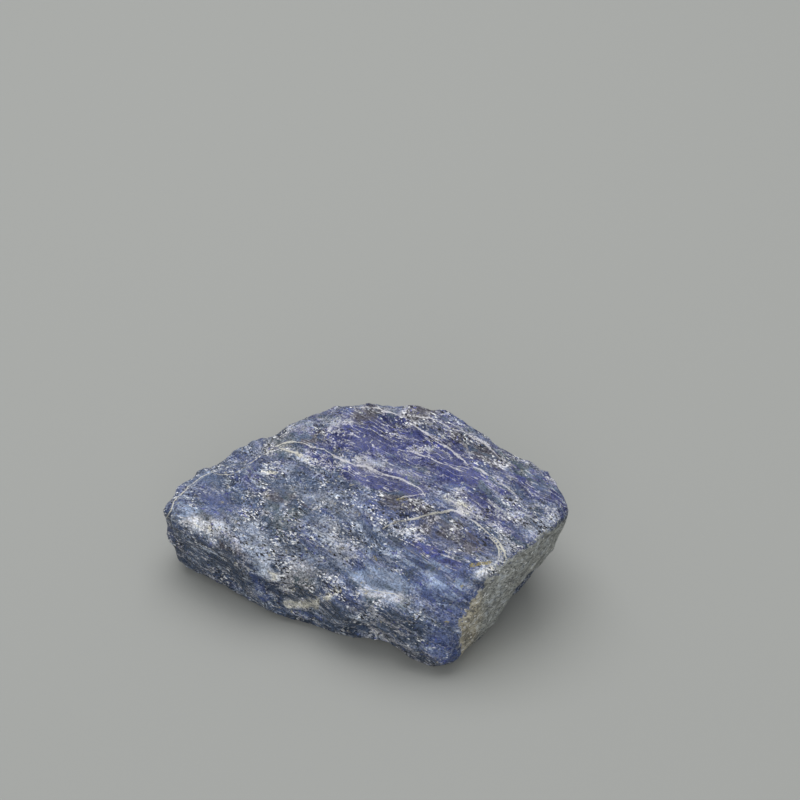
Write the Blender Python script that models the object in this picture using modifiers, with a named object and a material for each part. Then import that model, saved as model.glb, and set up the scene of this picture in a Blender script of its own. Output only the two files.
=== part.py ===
"""A raw lump of sodalite, one broken piece of blue stone lying on its broad underside.

The lump starts as the hull of its corners. Its edges are worn round, its skin is broken into
flat chips, sheet ledges and long grooves, and its underside is cut flat where it rests.
Blender units are metres; the numbers below are millimetres, +Z up, the origin under the middle
of the lump's box on the plane that it lies on. The viewer stands on the -Y side.
"""

import bmesh
import bpy
import numpy as np
from mathutils import Vector, kdtree, noise

MM = 0.001

# Driving dimensions: the lump's box, before the last thinning of its faces.
LENGTH = 112.0
DEPTH = 79.0
HEIGHT = 43.0

# The corners of the lump. The left tip is the thin end, the toe is the corner nearest the
# viewer, and the right end is a steep flat break from the toe to the right tip.
CORNERS = {
    "left_tip": (-57.0, 1.5, 21.0),
    "left_tip_low": (-55.5, 1.5, 11.0),
    "left_foot_out": (-51.5, 2.5, 4.0),
    "left_foot": (-49.5, -1.0, 2.0),
    "brow_left": (-44.5, -8.0, 20.5),
    "brow_middle_left": (-27.0, -19.5, 15.5),
    "brow_middle": (-9.0, -28.5, 15.5),
    "brow_middle_right": (10.0, -35.0, 19.0),
    "brow_right": (22.0, -37.5, 17.0),
    "front_foot_left": (-38.5, -9.5, 2.0),
    "front_foot_middle_left": (-26.0, -18.0, 2.0),
    "front_foot_middle": (-6.0, -20.5, 2.0),
    "front_foot_right": (11.0, -28.0, 2.0),
    "toe_left": (17.0, -35.0, 4.0),
    "toe": (21.5, -40.5, 6.0),
    "toe_right": (26.5, -37.5, 5.0),
    "end_front_low": (28.0, -36.0, 16.0),
    "end_front": (31.0, -31.0, 26.5),
    "end_top_front": (37.5, -25.0, 26.5),
    "end_top_middle": (45.5, -20.0, 30.0),
    "end_top_back": (53.5, -12.5, 31.5),
    "right_tip": (56.5, -7.5, 28.0),
    "end_foot_front": (33.0, -23.5, 2.0),
    "end_foot_middle": (40.5, -10.0, 2.0),
    "end_foot_back": (47.0, -6.5, 3.0),
    "right_tip_low": (53.5, -7.5, 15.5),
    "rim_left_low": (-52.0, 10.5, 23.0),
    "rim_left": (-43.5, 16.5, 26.0),
    "rim_left_high": (-33.0, 21.5, 28.5),
    "crest_left": (-20.0, 26.5, 32.0),
    "crest_middle_left": (-6.5, 26.0, 37.5),
    "crest_middle": (3.5, 24.5, 41.0),
    "crest_high": (17.0, 22.0, 43.0),
    "crest_right": (28.0, 18.0, 42.0),
    "crest_right_low": (35.5, 13.5, 39.0),
    "rim_right": (44.5, 6.5, 33.5),
    "rim_right_low": (51.5, 6.0, 34.5),
    "end_top_rim": (54.5, -3.0, 32.5),
    "slope_high": (17.0, -7.0, 38.0),
    "slope_left": (-5.0, 7.0, 37.0),
    "slope_right": (23.5, -23.0, 30.0),
    "slope_low": (6.0, -15.0, 33.0),
    "back_right": (51.0, 7.0, 17.0),
    "back_right_foot": (45.0, 9.0, 2.0),
    "back_shoulder_right": (37.0, 24.0, 19.0),
    "back_foot_right": (34.0, 24.0, 2.0),
    "back_shoulder_middle": (17.0, 34.5, 19.0),
    "back_foot_middle": (14.0, 35.5, 2.0),
    "back_high_left": (-10.0, 36.5, 26.0),
    "back_foot_left": (-9.0, 38.5, 2.0),
    "back_shoulder_left": (-31.0, 30.0, 17.0),
    "back_foot_far_left": (-28.0, 31.0, 2.0),
    "back_left": (-51.0, 12.0, 13.0),
    "back_left_foot": (-45.0, 16.0, 3.0),
}
SOLE_SHRINK = 0.92  # the sole's outline against the ring of feet above it
SOLE_DROP = -0.55
FOOT_HEIGHT = 6.5  # corners lower than this belong to the ring of feet

# The stone splits along steep sheets, and its grain runs along one line within them.
SHEET_NORMAL = np.array([0.51, 0.785, 0.347])
GRAIN = np.array([0.87, -0.47, -0.16])

# The right end broke off along one plane, so it is smoother than the rest.
END_NORMAL = np.array([0.66, -0.74, 0.12])
END_CALM = 0.6
END_FACING = (0.75, 0.95)  # how squarely the skin faces that way where the calm starts and is full

# The relief of the skin. A size is how far across its shapes are, a stretch is how much longer
# they are along the grain, and a slope is how far a flat chip tilts from the skin.
SWELL_SIZE = 24.0
SWELL_HEIGHT = 0.8
BREAK_SIZE = 12.0
BREAK_STRETCH = 2.0
BREAK_SLOPE = 0.12
CHIP_SIZE = 6.0
CHIP_STRETCH = 1.8
CHIP_SLOPE = 0.13
CHIP_BLEND = 0.2  # the share of a chip's size over which it runs into the next one
GROOVE_SIZE = 2.8
GROOVE_STRETCH = 5.0
GROOVE_HEIGHT = 0.3
PIT_SIZE = 2.4
PIT_HEIGHT = 0.12
SHEET_PITCH = 7.5
SHEET_STEP = 0.42
SHEET_RISE = 0.18  # the share of the pitch that a step takes
SHEET_WAVE = 0.55  # how far the sheets wave, against the pitch
SHEET_WAVE_SIZE = 16.0
MOST_SHEETS = 100

# Ledges: the line from start to end is the upper edge, the stone drops away on the low side and
# comes back to its old level over the reach.
LEDGES = {
    "long_vein": ((-22.0, 19.0, 32.0), (17.0, -7.5, 36.5), (-0.5, -0.85, -0.1), 1.3, 9.0),
    "lower_vein": ((4.0, -14.5, 32.0), (28.0, -10.5, 34.5), (0.1, -0.95, -0.3), 1.2, 7.0),
    "end_vein": ((25.0, -11.0, 34.5), (38.0, -23.0, 29.0), (-0.68, -0.7, -0.2), 0.8, 6.0),
    "high_groove": ((-3.0, 24.0, 39.5), (41.0, -4.0, 35.5), (-0.5, -0.85, -0.1), 0.9, 6.0),
    "crest_groove": ((3.0, 25.5, 41.0), (40.0, 6.5, 37.0), (0.4, 0.9, -0.1), 0.6, 5.0),
    "left_rim": ((-52.0, 8.0, 23.0), (-26.0, 17.0, 30.0), (-0.3, 0.93, -0.2), 1.6, 7.0),
    "front_shelf": ((-4.0, -26.5, 23.0), (22.0, -32.0, 22.0), (0.0, -0.8, -0.6), 0.9, 6.0),
    "front_step": ((-22.0, -12.0, 25.5), (4.0, -24.0, 25.0), (-0.35, -0.8, -0.45), 0.9, 8.0),
    "end_step": ((31.0, -30.0, 12.0), (50.0, -12.0, 18.0), (0.1, 0.1, -1.0), 0.7, 6.0),
    "back_step": ((-30.0, 29.0, 20.0), (20.0, 34.0, 22.0), (0.0, 0.4, -0.9), 1.8, 10.0),
    "back_right_step": ((30.0, 27.0, 10.0), (52.0, 6.0, 24.0), (0.5, 0.5, -0.7), 1.4, 9.0),
}
LEDGE_WIDTH = 1.4  # how wide the drop itself is
LEDGE_DEPTH = 8.0  # how far into and out of the surface a ledge reaches
LEDGE_WANDER = 1.2
LEDGE_WANDER_SIZE = 9.0
LEDGE_FADE = 0.2  # the share of its length over which a ledge fades out at each end

# Dents and knobs that stand out: centre, radius and depth. A negative depth is a knob.
DENTS = {
    "notch_above_right_rim": ((48.5, 8.5, 36.0), 5.5, 3.2),
    "step_behind_crest": ((38.5, 13.0, 38.5), 5.5, 2.6),
    "facet_near_left_tip": ((-40.0, 4.5, 27.0), 9.0, 1.5),
    "pocket_under_vein": ((9.0, -16.0, 32.5), 4.0, 1.4),
    "pocket_high": ((24.5, -3.0, 37.0), 4.0, 1.5),
    "left_tip_undercut": ((-57.0, 0.0, 15.5), 5.0, 1.6),
    "brow_dip": ((-17.0, -22.0, 18.5), 15.0, 2.4),
    "brow_scoop_left": ((-38.0, -10.0, 10.0), 8.0, 1.2),
    "brow_scoop_right": ((3.0, -30.0, 4.0), 11.0, 3.2),
    "end_foot_scoop": ((42.0, -16.0, 6.0), 10.0, 1.8),
    "back_scoop": ((6.0, 34.0, 24.0), 14.0, 2.6),
    "back_scoop_left": ((-38.0, 25.0, 15.0), 11.0, 2.0),
    "toe_knob": ((21.5, -39.0, 9.0), 7.0, -0.8),
}

SKIN_VOXEL = 1.1
WEAR_STEPS = 4  # smoothing passes that wear the hull's edges round
MOST_TRIANGLES = 9000


def clear_scene():
    for obj in list(bpy.data.objects):
        bpy.data.objects.remove(obj)


def stone_material():
    material = bpy.data.materials.new("sodalite_blue")
    material.use_nodes = True
    shader = material.node_tree.nodes["Principled BSDF"]
    shader.inputs["Base Color"].default_value = (0.09, 0.11, 0.27, 1.0)
    shader.inputs["Roughness"].default_value = 0.5
    shader.inputs["Metallic"].default_value = 0.0
    return material


def unit(vector):
    return np.asarray(vector) / np.linalg.norm(vector)


def sole_corners():
    """The ring of feet, drawn in and pushed just below the plane that the lump rests on."""
    feet = [corner for corner in CORNERS.values() if corner[2] < FOOT_HEIGHT]
    middle = np.mean(feet, axis=0)
    for x, y, _ in feet:
        yield (
            middle[0] + SOLE_SHRINK * (x - middle[0]),
            middle[1] + SOLE_SHRINK * (y - middle[1]),
            SOLE_DROP,
        )


def hull_object():
    """The convex hull of all the corners, as an object in metres."""
    mesh = bpy.data.meshes.new("lump_hull")
    shape = bmesh.new()
    for corner in [*CORNERS.values(), *sole_corners()]:
        shape.verts.new(Vector(corner) * MM)
    made = bmesh.ops.convex_hull(shape, input=shape.verts)
    inner = {item for item in made["geom_interior"] if isinstance(item, bmesh.types.BMVert)}
    bmesh.ops.delete(shape, geom=list(inner), context="VERTS")
    bmesh.ops.recalc_face_normals(shape, faces=shape.faces)
    shape.to_mesh(mesh)
    shape.free()
    obj = bpy.data.objects.new("lump_hull", mesh)
    bpy.context.scene.collection.objects.link(obj)
    return obj


def worn_skin(hull):
    """The hull as an even fine mesh whose edges are worn round. The hull itself is removed."""
    remesh = hull.modifiers.new("even_skin", "REMESH")
    remesh.mode = "VOXEL"
    remesh.voxel_size = SKIN_VOXEL * MM
    smooth = hull.modifiers.new("wear", "SMOOTH")
    smooth.factor = 0.5
    smooth.iterations = WEAR_STEPS
    graph = bpy.context.evaluated_depsgraph_get()
    mesh = bpy.data.meshes.new_from_object(hull.evaluated_get(graph))
    bpy.data.objects.remove(hull)
    return mesh


def points_and_normals(mesh):
    count = len(mesh.vertices) * 3
    points = np.empty(count)
    normals = np.empty(count)
    mesh.vertices.foreach_get("co", points)
    mesh.vertices.foreach_get("normal", normals)
    return points.reshape(-1, 3) / MM, normals.reshape(-1, 3)


def smooth_noise(points, size, seed):
    """Soft lumps about one size across, from -1 to 1."""
    shift = Vector((seed * 7.31, seed * 3.17, seed * 5.93))
    return np.array([noise.noise(Vector(point) / size + shift) for point in points])


def along_grain(points, stretch):
    """The points with the grain's direction drawn together, so that shapes there grow long."""
    grain = unit(GRAIN)
    return points - np.outer(points @ grain, grain) * (1 - 1 / stretch)


def flat_chips(points, size, slope, seed):
    """Heights of flat chips about one size across, each tilted its own way, blended at their edges."""
    random = np.random.default_rng(seed)
    half = np.array([LENGTH, DEPTH, HEIGHT]) / 2 + size
    count = int(np.prod(2 * half) / size**3)
    centres = random.uniform(-half, half, (count, 3)) + (0, 0, HEIGHT / 2)
    tilts = random.normal(size=(count, 3))
    tilts *= slope / np.linalg.norm(tilts, axis=1, keepdims=True)
    tree = kdtree.KDTree(count)
    for index, centre in enumerate(centres):
        tree.insert(centre, index)
    tree.balance()
    found = [tree.find_n(point, 2) for point in points]
    first = np.array([pair[0][1] for pair in found])
    second = np.array([pair[1][1] for pair in found])
    margin = np.array([pair[1][2] - pair[0][2] for pair in found])
    own = np.einsum("ij,ij->i", points - centres[first], tilts[first])
    other = np.einsum("ij,ij->i", points - centres[second], tilts[second])
    share = 0.5 + 0.5 * np.clip(margin / (CHIP_BLEND * size), 0, 1)
    return own * share + other * (1 - share)


def smooth_step(value):
    value = np.clip(value, 0, 1)
    return value * value * (3 - 2 * value)


def sheet_steps(points, seed):
    """Steps where the stone broke from sheet to sheet: each sheet ends at its own level."""
    place = points @ unit(SHEET_NORMAL) / SHEET_PITCH
    place += SHEET_WAVE * smooth_noise(points, SHEET_WAVE_SIZE, seed)
    sheet = np.floor(place).astype(int)
    levels = np.random.default_rng(seed).uniform(-1, 1, MOST_SHEETS)
    rise = smooth_step((place - sheet) / SHEET_RISE)
    return SHEET_STEP * (levels[sheet - 1] * (1 - rise) + levels[sheet] * rise)


def ledges(points):
    """Single drops along a line, sharp at the line and fading out on the low side and at both ends."""
    total = np.zeros(len(points))
    wander = LEDGE_WANDER * smooth_noise(points, LEDGE_WANDER_SIZE, seed=21)
    for start, end, low_side, drop, reach in LEDGES.values():
        line = np.subtract(end, start)
        offset = points - np.array(start)
        place = offset @ line / (line @ line)
        side = unit(low_side - line * (line @ low_side) / (line @ line))
        down = offset @ side + wander
        height = np.abs(offset @ unit(np.cross(line, side)))
        near = smooth_step(np.minimum(place, 1 - place) / LEDGE_FADE)
        near *= smooth_step((LEDGE_DEPTH - height) / (LEDGE_DEPTH / 2))
        profile = smooth_step(down / LEDGE_WIDTH) * np.clip(1 - down / reach, 0, 1)
        total -= drop * near * profile
    return total


def dents(points):
    """Rounded hollows, and knobs where the depth is negative."""
    total = np.zeros(len(points))
    for centre, radius, depth in DENTS.values():
        share = np.linalg.norm(points - np.array(centre), axis=1) / radius
        total -= depth * np.clip(1 - share * share, 0, 1) ** 1.5
    return total


def broken_relief(points, normals):
    """How far each point of the worn skin stands out or in."""
    relief = SWELL_HEIGHT * smooth_noise(points, SWELL_SIZE, seed=1)
    relief += flat_chips(along_grain(points, BREAK_STRETCH), BREAK_SIZE, BREAK_SLOPE, seed=5)
    relief += flat_chips(along_grain(points, CHIP_STRETCH), CHIP_SIZE, CHIP_SLOPE, seed=8)
    relief += sheet_steps(points, seed=12)
    relief += GROOVE_HEIGHT * smooth_noise(along_grain(points, GROOVE_STRETCH), GROOVE_SIZE, seed=3)
    relief += PIT_HEIGHT * smooth_noise(points, PIT_SIZE, seed=4)
    facing = (normals @ unit(END_NORMAL) - END_FACING[0]) / (END_FACING[1] - END_FACING[0])
    calm = END_CALM * smooth_step(facing)
    return relief * (1 - calm) + ledges(points) + dents(points)


def broken_skin(mesh):
    """Moves the skin out and in along its normals, in place, and centres the lump over the origin."""
    points, normals = points_and_normals(mesh)
    points = points + normals * broken_relief(points, normals)[:, None]
    middle = (points.min(axis=0) + points.max(axis=0)) / 2
    size = np.ptp(points, axis=0)
    points[:, 0] = (points[:, 0] - middle[0]) * LENGTH / size[0]
    points[:, 1] = (points[:, 1] - middle[1]) * DEPTH / size[1]
    points[:, 2] *= HEIGHT / points[:, 2].max()
    mesh.vertices.foreach_set("co", (points * MM).ravel())
    mesh.update()


def ground_cutter():
    """A block below the resting plane, which cuts the underside flat."""
    thick = 10.0
    shape = bmesh.new()
    bmesh.ops.create_cube(shape, size=1.0)
    for vert in shape.verts:
        vert.co.x *= 2 * LENGTH * MM
        vert.co.y *= 2 * DEPTH * MM
        vert.co.z = (vert.co.z - 0.5) * thick * MM
    mesh = bpy.data.meshes.new("ground_cutter")
    shape.to_mesh(mesh)
    shape.free()
    cutter = bpy.data.objects.new("ground_cutter", mesh)
    cutter.hide_render = True
    cutter.display_type = "WIRE"
    return cutter


def new_collection(name):
    collection = bpy.data.collections.new(name)
    bpy.context.scene.collection.children.link(collection)
    return collection


def build_stone():
    clear_scene()
    mesh = worn_skin(hull_object())
    mesh.name = "sodalite_stone"
    broken_skin(mesh)
    mesh.materials.clear()
    mesh.materials.append(stone_material())
    stone = bpy.data.objects.new("sodalite_stone", mesh)
    new_collection("raw_sodalite").objects.link(stone)
    cutter = ground_cutter()
    new_collection("cutters").objects.link(cutter)
    fewer = stone.modifiers.new("fewer_faces", "DECIMATE")
    fewer.ratio = MOST_TRIANGLES / (2 * len(mesh.polygons))
    flat = stone.modifiers.new("flat_underside", "BOOLEAN")
    flat.operation = "DIFFERENCE"
    flat.object = cutter


build_stone()
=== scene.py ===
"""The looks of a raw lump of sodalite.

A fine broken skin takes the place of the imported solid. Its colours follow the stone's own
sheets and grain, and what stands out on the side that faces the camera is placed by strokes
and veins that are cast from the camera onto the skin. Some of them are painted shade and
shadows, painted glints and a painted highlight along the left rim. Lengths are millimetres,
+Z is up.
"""

import math

import bpy
import numpy as np
from mathutils import Euler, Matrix, Vector, kdtree, noise
from mathutils.bvhtree import BVHTree


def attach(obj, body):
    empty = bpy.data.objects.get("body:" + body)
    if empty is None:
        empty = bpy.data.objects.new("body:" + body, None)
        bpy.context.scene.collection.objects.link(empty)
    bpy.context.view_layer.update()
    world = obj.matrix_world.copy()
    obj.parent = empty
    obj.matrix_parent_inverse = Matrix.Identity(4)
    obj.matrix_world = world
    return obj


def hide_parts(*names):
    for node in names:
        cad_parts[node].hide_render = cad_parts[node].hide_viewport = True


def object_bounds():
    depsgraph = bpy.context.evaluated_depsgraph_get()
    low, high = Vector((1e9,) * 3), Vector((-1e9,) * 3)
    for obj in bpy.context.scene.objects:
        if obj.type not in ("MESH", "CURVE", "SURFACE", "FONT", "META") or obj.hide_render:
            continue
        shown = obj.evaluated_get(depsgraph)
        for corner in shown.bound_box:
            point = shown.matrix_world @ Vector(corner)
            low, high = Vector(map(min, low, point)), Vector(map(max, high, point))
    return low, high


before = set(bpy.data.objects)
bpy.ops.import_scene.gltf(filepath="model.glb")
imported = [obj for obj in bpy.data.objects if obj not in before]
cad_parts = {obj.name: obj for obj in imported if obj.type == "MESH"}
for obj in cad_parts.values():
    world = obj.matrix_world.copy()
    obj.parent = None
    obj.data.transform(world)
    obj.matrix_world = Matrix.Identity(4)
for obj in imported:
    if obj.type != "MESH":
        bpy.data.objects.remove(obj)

MM = 0.001
NODE = "sodalite_stone"
cad_low, cad_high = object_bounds()

# The camera of the photograph, whose frame is square.
PHOTO_SIDE = 800  # pixels
CAMERA_PLACE = Vector((10.1, -380.3, 382.5))
CAMERA_TURN = Euler((math.radians(50.0), 0.0, 0.0))
LENS = 85.0
SENSOR = 36.0

# Square soft lamps: place, side, and power in watts.
LAMPS = {
    "soft_top_lamp": ((-80.0, 360.0, 1100.0), 1100.0, 12.4),
    "soft_front_lamp": ((-100.0, -1100.0, 700.0), 1000.0, 5.0),
}
STUDIO_COLOUR = (0.97, 1.0, 0.98, 1.0)
STUDIO_STRENGTH = 0.42
FLOOR_REACH = 6000.0
FLOOR_GREY = (150, 151, 149)
FLOOR_ROUGHNESS = 0.9

# The stone splits along steep sheets, its grain runs along one line within them, and its right
# end broke off along one plane.
SHEET_NORMAL = np.array([0.51, 0.785, 0.347])
GRAIN = np.array([0.87, -0.47, -0.16])
END_NORMAL = np.array([0.66, -0.74, 0.12])
END_ALONG = np.array([0.74, 0.66, 0.0])

# Where the end face lies. Each pair is where it starts and where it is full.
END_FACING = (0.62, 0.8)  # how squarely the skin faces along the end's normal
END_LEVEL = (40.0, 42.0)  # how far out along that normal
END_FRONT = (-5.5, -4.0)  # how far back along the end
END_BELOW_TOP = (1.5, -4.0)  # how far over its top edge
END_TOP = 31.8  # the height of that edge, which falls away past both of the next two places
END_TOP_FRONT = 21.0
END_TOP_BACK = 25.0
END_TOP_FRONT_FALL = 0.02  # for each mm squared
END_TOP_BACK_FALL = 0.2  # for each mm

# The skin.
SKIN_VOXEL = 0.51
SKIN_SMOOTHING = 5
SMOOTHING_FACTOR = 0.5
SOLE_HEIGHT = 0.4  # the skin is left flat this close to the ground
SOLE_FACING = -0.5  # where its normal points down more than this
SPIKE = 0.2  # a vertex stands no further than this from the middle of its neighbours
SPIKE_PASSES = 3

# The fine relief of the skin. A size is how far across its shapes are, a stretch is how much
# longer they are along the grain, and a slope is how far a flat chip tilts from the skin.
CHIP_SIZE = 4.2
CHIP_STRETCH = 1.8
CHIP_SLOPE = 0.1
SPLINTER_SIZE = 1.9
SPLINTER_STRETCH = 1.5
SPLINTER_SLOPE = 0.13
CHIP_BLEND = 0.16  # the share of a chip's size over which it runs into the next one
SHEET_PITCH = 2.8
SHEET_STEP = 0.12
SHEET_RISE = 0.25  # the share of the pitch that a step takes
SHEET_WAVE = 0.6  # how far the sheets wave, against the pitch
SHEET_WAVE_SIZE = 9.0
MOST_SHEETS = 400
GROOVE_SIZE = 1.5
GROOVE_STRETCH = 5.0
GROOVE_DEPTH = 0.2
RIPPLE_SIZE = 0.9
RIPPLE_STRETCH = 3.0
RIPPLE_HEIGHT = 0.14
PIT_SIZE = 1.6
PIT_DEPTH = 0.22
PIT_LEVELS = (0.35, 0.75)
CALM = 0.6  # the share of the relief that is missing on smooth places and on the end face

# Where the photograph's outline runs lower than the solid's: a place, how far the dent reaches
# and how deep it is.
WORN_SPOTS = {
    "crest": ((27.5, 19.8, 41.2), 5.5, 1.3),
    "crest_right": ((32.5, 17.0, 39.5), 5.0, 1.5),
    "right_shoulder": ((42.4, 11.0, 36.0), 5.2, 2.6),
}
DENT_ROUNDNESS = 1.5

# Veins. Their widths taper to their ends and wave along them.
VEIN_REACH = 1.6  # how far from a vein's middle its own place is still known
VEIN_CORE = 0.6  # the share of that reach where the place is fully known
VEIN_RISE = 0.15
VEIN_RISE_LEVELS = (2.5, 0.5)  # in half widths from the middle
VEIN_TIP = 0.45  # the width at a tip, against the full width
VEIN_TAPER = 0.12  # the share of the length that tapers
VEIN_WAVE_SIZE = 3.2
VEIN_WAVE_MIDDLE = 0.9
VEIN_WAVE = 1.1
VEIN_WAVE_LIMITS = (0.25, 1.25)
VEIN_WANDER_SIZE = 2.5
VEIN_WANDER = 0.3
VEIN_PIXEL_STEP = 1.0
VEIN_STEP = 0.3
VEIN_HEADING = 3  # the heading at a point is taken this many points before and after it
VEIN_FARTHEST = 8.0  # in half widths

# Paths of the veins, in pixels of the photograph's frame, with each vein's half width in mm.
VEINS = {
    "long_vein": (0.23, (
        (255, 460), (274, 446), (284, 442), (292, 440), (300, 442), (315, 446), (325, 449), (336, 456),
        (345, 460), (353, 463), (366, 466), (376, 470), (383, 473), (395, 476), (403, 479), (414, 484),
        (421, 489), (425, 493), (414, 494), (404, 496))),
    "lower_vein": (0.24, (
        (386, 525), (394, 521), (404, 519), (416, 517), (429, 513), (440, 511), (452, 509), (459, 511),
        (465, 515), (473, 520), (482, 527), (489, 533), (497, 538), (500, 544), (504, 552), (506, 557),
        (501, 566))),
    "lower_vein_inner": (0.12, ((489, 535), (494, 541), (498, 548), (499, 556), (494, 563))),
    "crest_vein": (0.3, (
        (363, 406), (376, 407), (388, 411), (400, 414), (414, 416), (429, 417), (436, 419), (446, 425),
        (462, 431), (473, 437), (484, 442), (489, 447), (496, 454), (505, 460))),
    "high_vein": (0.24, (
        (404, 417), (414, 424), (423, 430), (430, 435), (440, 443), (451, 449), (459, 455), (468, 463),
        (478, 468), (491, 476), (497, 481), (505, 485), (512, 491))),
    "branch_vein": (0.3, ((280, 447), (297, 452), (303, 456))),
    "middle_vein": (0.25, ((402, 449), (414, 451), (423, 455), (430, 457), (442, 462))),
    # A painted highlight along the left rim, drawn as a thin pale vein.
    "left_rim_vein": (0.18, ((167, 517), (174, 501), (182, 493), (190, 484), (200, 477), (211, 471))),
    "left_rim_branch": (0.1, ((211, 471), (222, 474), (234, 473), (246, 465), (255, 460))),
    "right_vein": (0.35, ((452, 500), (462, 507), (476, 515))),
    "pale_vein": (0.1, ((361, 589), (380, 590), (393, 593), (400, 596))),
}

# Veins on the sides that the photograph doesn't show, as points near the skin.
HIDDEN_VEINS = {
    "back_long_vein": (0.34, (
        (-44, 16, 22), (-30, 26, 21), (-12, 34, 24), (6, 34, 20), (24, 30, 15), (38, 20, 9))),
    "back_branch": (0.25, ((-12, 34, 24), (2, 33, 30), (14, 28, 36))),
    "back_low_vein": (0.25, ((-20, 34, 8), (-4, 37, 11), (14, 35, 7))),
    "back_right_vein": (0.24, ((36, 20, 24), (46, 9, 18), (51, 3, 10))),
    "sole_vein": (0.34, ((-34, 6, 0), (-10, 2, 0), (12, -8, 0), (30, -18, 0))),
    "sole_branch": (0.24, ((-10, 2, 0), (2, 12, 0), (18, 20, 0))),
}

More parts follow.
